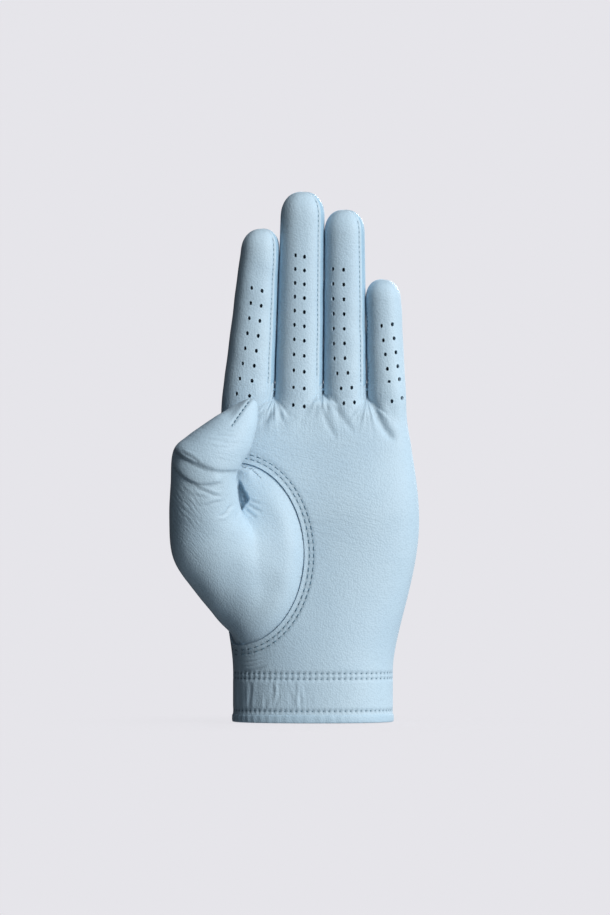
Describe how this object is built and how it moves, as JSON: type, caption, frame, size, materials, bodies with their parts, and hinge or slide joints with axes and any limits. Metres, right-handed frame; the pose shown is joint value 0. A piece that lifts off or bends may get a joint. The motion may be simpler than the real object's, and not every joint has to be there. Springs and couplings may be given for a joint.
{
  "type": "golf glove",
  "caption": "Left-hand golf glove in thin pale-blue leather, thumb set in by an oval seam, sewn fingers that flex, and a closure tab over a slit in the back of the wrist.",
  "frame": {"origin": "middle of the hand opening, in the plane of the hem, with the glove standing on its cuff", "axes": "+Z from the hem to the fingertips, -Y the palm side, +Y the back of the hand, -X the thumb side, +X the little finger's side"},
  "size_m": [0.1036, 0.0665, 0.2205],
  "materials": {
    "leather": "soft matt sheepskin with a fine grain",
    "side_leather": "soft matt leather",
    "binding": "folded leather strip",
    "thread": "twisted sewing thread",
    "elastic": "woven elastic",
    "hook": "hook tape",
    "loop": "loop tape"
  },
  "bodies": {
    "hand": {"palm_panel": "leather", "back_panel": "leather", "thenar_panel": "leather", "thumb_tube": "leather", "crotch_web": "side_leather", "wrist_elastic": "elastic", "cuff_facing": "leather", "hem_binding": "binding", "slit_binding": "binding", "slit_bar_tack": "thread", "loop_pad": "loop", "tab_anchor": "leather", "thumb_seam_thread_inner": "thread", "thumb_seam_thread_outer": "thread", "cuff_thread_upper": "thread", "cuff_thread_lower": "thread", "hem_thread": "thread"},
    "index": {"index_front": "leather", "index_back": "leather", "index_fourchette": "side_leather", "index_seam_thread": "thread"},
    "middle": {"middle_front": "leather", "middle_back": "leather", "middle_inner_fourchette": "side_leather", "middle_outer_fourchette": "side_leather", "middle_seam_thread": "thread"},
    "ring": {"ring_front": "leather", "ring_back": "leather", "ring_inner_fourchette": "side_leather", "ring_outer_fourchette": "side_leather", "ring_seam_thread": "thread"},
    "little": {"little_front": "leather", "little_back": "leather", "little_fourchette": "side_leather", "little_seam_thread": "thread"},
    "thumb": {"thumb_tip": "leather", "thumb_tip_seam_thread": "thread"},
    "tab": {"closure_tab": "leather", "hook_pad": "hook", "tab_thread": "thread"}
  },
  "joints": [
    {"name": "index_flex", "type": "hinge", "parent": "hand", "child": "index", "pos_m": [-0.0269, -0.0092, 0.138], "axis": [1, 0, 0], "range_deg": [0, 60]},
    {"name": "middle_flex", "type": "hinge", "parent": "hand", "child": "middle", "pos_m": [-0.0058, -0.0092, 0.138], "axis": [1, 0, 0], "range_deg": [0, 60]},
    {"name": "ring_flex", "type": "hinge", "parent": "hand", "child": "ring", "pos_m": [0.0134, -0.0092, 0.138], "axis": [1, 0, 0], "range_deg": [0, 60]},
    {"name": "little_flex", "type": "hinge", "parent": "hand", "child": "little", "pos_m": [0.0308, -0.0092, 0.138], "axis": [1, 0, 0], "range_deg": [0, 60]},
    {"name": "thumb_extend", "type": "hinge", "parent": "hand", "child": "thumb", "pos_m": [-0.0576, -0.0296, 0.1132], "axis": [0, -1, 0], "range_deg": [0, 40]},
    {"name": "tab_open", "type": "hinge", "parent": "hand", "child": "tab", "pos_m": [0.017, 0.01994, 0.0265], "axis": [0, 0, -1], "range_deg": [0, 150]}
  ]
}
